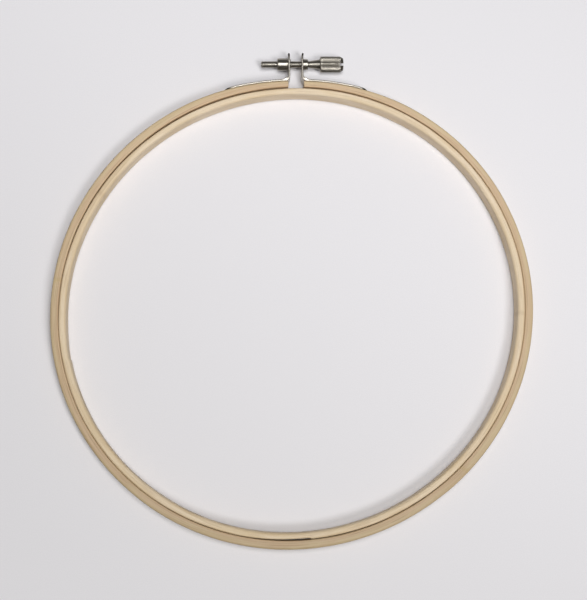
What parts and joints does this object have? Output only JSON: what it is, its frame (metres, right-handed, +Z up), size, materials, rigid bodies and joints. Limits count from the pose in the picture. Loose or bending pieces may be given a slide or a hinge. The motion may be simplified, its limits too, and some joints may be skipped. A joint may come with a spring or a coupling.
{
  "type": "embroidery hoop",
  "caption": "Round bamboo embroidery hoop: a closed inner ring inside a split outer ring that a thumbscrew clamps through two steel brackets.",
  "frame": {"origin": "middle of the whole hoop's footprint, on the surface it lies on", "axes": "+Z up out of the hoop's plane, +Y from the hoop towards the screw, +X along the screw towards its knurled head"},
  "size_m": [0.2096, 0.2186, 0.0095],
  "materials": {
    "inner_bamboo": "bare sanded bamboo, pale straw",
    "outer_bamboo": "bare sanded bamboo, light tan",
    "bracket_steel": "nickel-plated strip, semi-bright",
    "screw_steel": "nickel-plated turned steel, bright"
  },
  "bodies": {
    "outer_right": {"outer_hoop_right": "outer_bamboo", "bracket_right": "bracket_steel", "rivet_right_1": "bracket_steel", "rivet_right_2": "bracket_steel"},
    "outer_left": {"outer_hoop_left": "outer_bamboo", "bracket_left": "bracket_steel", "rivet_left_1": "bracket_steel", "rivet_left_2": "bracket_steel", "barrel_nut": "screw_steel"},
    "screw": {"thumbscrew": "screw_steel"},
    "inner": {"inner_hoop": "inner_bamboo"}
  },
  "joints": [
    {"name": "screw_turn", "type": "hinge", "parent": "outer_right", "child": "screw", "pos_m": [0.00254, 0.10417, 0.00475], "axis": [1, 0, 0], "range_deg": [0, 4320]},
    {"name": "gap_open", "type": "hinge", "parent": "outer_right", "child": "outer_left", "pos_m": [-0.00256, -0.1074, 0.00475], "axis": [0, 0, 1], "range_deg": [0, 1.62]},
    {"name": "inner_lift", "type": "slide", "parent": "outer_right", "child": "inner", "axis": [0, 0, 1], "range_m": [0, 0.03]}
  ],
  "couplings": [
    {"joint": "screw_turn", "follows": "gap_open", "ratio": 2658.7}
  ]
}
